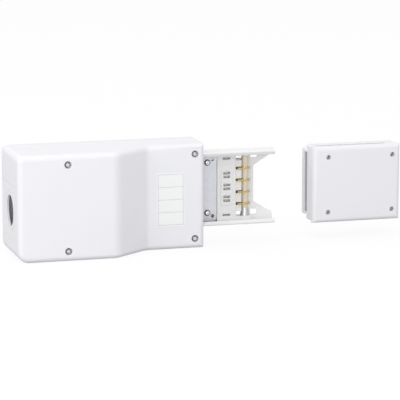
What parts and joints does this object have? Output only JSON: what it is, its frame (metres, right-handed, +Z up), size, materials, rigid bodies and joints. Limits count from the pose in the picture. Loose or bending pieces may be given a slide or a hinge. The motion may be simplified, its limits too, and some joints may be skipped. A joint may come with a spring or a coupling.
{
  "type": "busway end feed unit",
  "caption": "Wall-mounted box that feeds a supply cable into small busbar trunking, with a plug-in joint stub and a loose end cover.",
  "frame": {"origin": "on the trunking's centre line, at the feed box's end face where the joint stub leaves it", "axes": "+X along the trunking, away from the feed box; -Y to the front; +Z up"},
  "size_m": [0.6162, 0.119, 0.159],
  "materials": {
    "white_moulding": "smooth white moulded plastic with a slight sheen",
    "white_sheet": "white powder-coated steel sheet",
    "insulator": "white moulded insulating plastic",
    "grey_insulator": "grey insulating plastic",
    "galvanised": "pre-galvanised steel sheet",
    "steel": "zinc-plated steel",
    "brass": "bright brass",
    "sleeve": "glossy ivory insulating plastic",
    "black_washer": "black nylon",
    "seal": "light grey foam rubber"
  },
  "bodies": {
    "feed_unit": {"block_screws": "steel", "casing_screws": "steel", "clamp_rod": "steel", "contact_bar_l1": "brass", "contact_bar_l2": "brass", "contact_bar_l3": "brass", "contact_bar_n": "brass", "cover_inserts": "brass", "cover_seal": "seal", "earth_bar": "brass", "earth_screw": "steel", "fixing_plate": "galvanised", "gland_plate": "white_moulding", "joint_casing": "white_sheet", "joint_insulator": "insulator", "plate_pillars": "steel", "plate_screws": "steel", "plate_washers": "black_washer", "rear_base": "white_moulding", "rear_liner": "grey_insulator", "rod_foot": "steel", "rod_nuts": "steel", "spacer_sleeves": "sleeve", "terminal_block": "grey_insulator", "terminal_block_screws": "steel", "terminal_l1": "brass", "terminal_l2": "brass", "terminal_l3": "brass", "terminal_n": "brass", "terminal_pe": "brass", "terminal_screws": "steel"},
    "cover": {"front_cover": "white_moulding", "cover_screws": "steel"},
    "end_cover": {"end_cover_rear": "white_moulding", "end_cover_inserts": "brass"},
    "end_cover_lid": {"end_cover_front": "white_moulding", "end_cover_screws": "steel"}
  },
  "joints": [
    {"name": "cover_lift", "type": "slide", "parent": "feed_unit", "child": "cover", "axis": [0, -1, 0], "range_m": [0, 0.14]},
    {"name": "end_cover_slide", "type": "slide", "parent": "feed_unit", "child": "end_cover", "axis": [1, 0, 0], "range_m": [-0.05, 0]},
    {"name": "end_cover_lid_lift", "type": "slide", "parent": "end_cover", "child": "end_cover_lid", "axis": [0, -1, 0], "range_m": [0, 0.06]}
  ]
}
